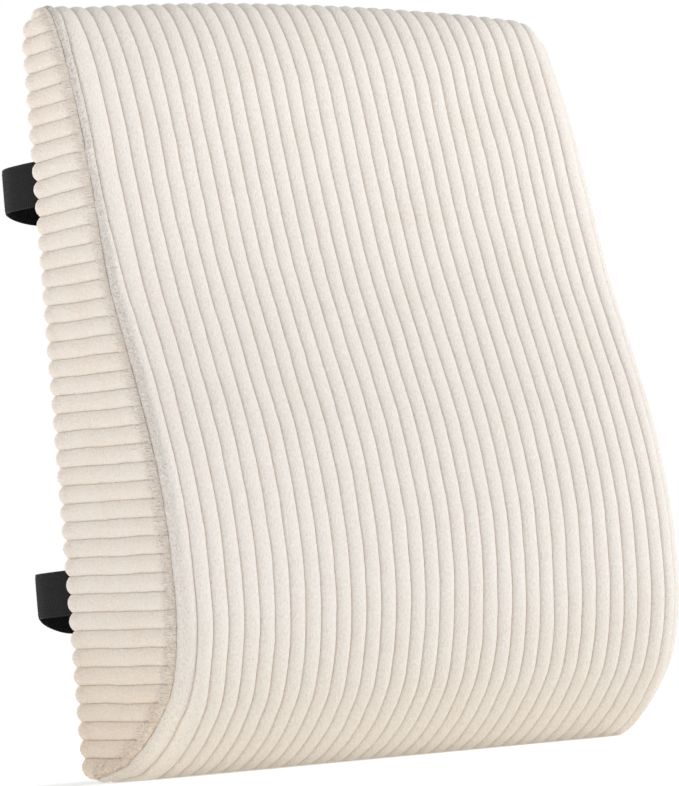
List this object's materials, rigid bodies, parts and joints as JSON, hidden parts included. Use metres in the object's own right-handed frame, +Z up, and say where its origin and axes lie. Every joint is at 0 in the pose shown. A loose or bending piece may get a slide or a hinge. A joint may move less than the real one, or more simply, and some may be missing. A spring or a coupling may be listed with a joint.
{
  "type": "lumbar support cushion",
  "caption": "Contoured lumbar-support back cushion: foam block in a zipped wide-wale corduroy cover with elastic chair straps and side-release buckles.",
  "frame": {"origin": "on the base plane, at the middle of the whole object's bounding box in X and Y", "axes": "+X to the right of someone facing the front, across the width; -Y is the front that the sitter leans on; +Z up along the flat back"},
  "size_m": [0.364, 0.1619, 0.43],
  "materials": {
    "foam": "matte",
    "liner": "matte",
    "corduroy": "matte",
    "back_cloth": "matte",
    "webbing": "matte",
    "zip_tape": "matte",
    "zip_teeth": "satin",
    "zip_metal": "satin",
    "buckle": "satin"
  },
  "bodies": {
    "cushion": {"foam_core": "foam", "foam_liner": "liner", "front_panel": "corduroy", "side_panel_left": "corduroy", "side_panel_right": "corduroy", "back_panel": "back_cloth", "back_lower_panel": "back_cloth", "zip_tape_upper": "zip_tape", "zip_tape_lower": "zip_tape", "zip_teeth_upper": "zip_teeth", "zip_teeth_lower": "zip_teeth", "zip_end_stops": "zip_metal", "upper_strap_short": "webbing", "upper_plug": "buckle", "upper_strap_long": "webbing", "lower_strap_short": "webbing", "lower_plug": "buckle", "lower_strap_long": "webbing"},
    "zip_slider": {"zip_slider": "zip_metal"},
    "zip_pull": {"zip_pull_tab": "zip_metal"},
    "upper_socket": {"upper_socket": "buckle"},
    "upper_keeper": {"upper_keeper": "webbing"},
    "lower_socket": {"lower_socket": "buckle"},
    "lower_keeper": {"lower_keeper": "webbing"}
  },
  "joints": [
    {"name": "zip_slide", "type": "slide", "parent": "cushion", "child": "zip_slider", "axis": [-1, 0, 0], "range_m": [0, 0.3]},
    {"name": "zip_pull_flip", "type": "hinge", "parent": "zip_slider", "child": "zip_pull", "pos_m": [0.148, 0.0293, 0.042], "axis": [0, 0, 1], "range_deg": [0, 170]},
    {"name": "upper_buckle_release", "type": "slide", "parent": "cushion", "child": "upper_socket", "axis": [-1, 0, 0], "range_m": [0, 0.034], "deforming": ["upper_strap_short"]},
    {"name": "upper_keeper_slide", "type": "slide", "parent": "cushion", "child": "upper_keeper", "axis": [1, 0, 0], "range_m": [-0.012, 0.038]},
    {"name": "lower_buckle_release", "type": "slide", "parent": "cushion", "child": "lower_socket", "axis": [-1, 0, 0], "range_m": [0, 0.034], "deforming": ["lower_strap_short"]},
    {"name": "lower_keeper_slide", "type": "slide", "parent": "cushion", "child": "lower_keeper", "axis": [1, 0, 0], "range_m": [-0.012, 0.038]}
  ]
}
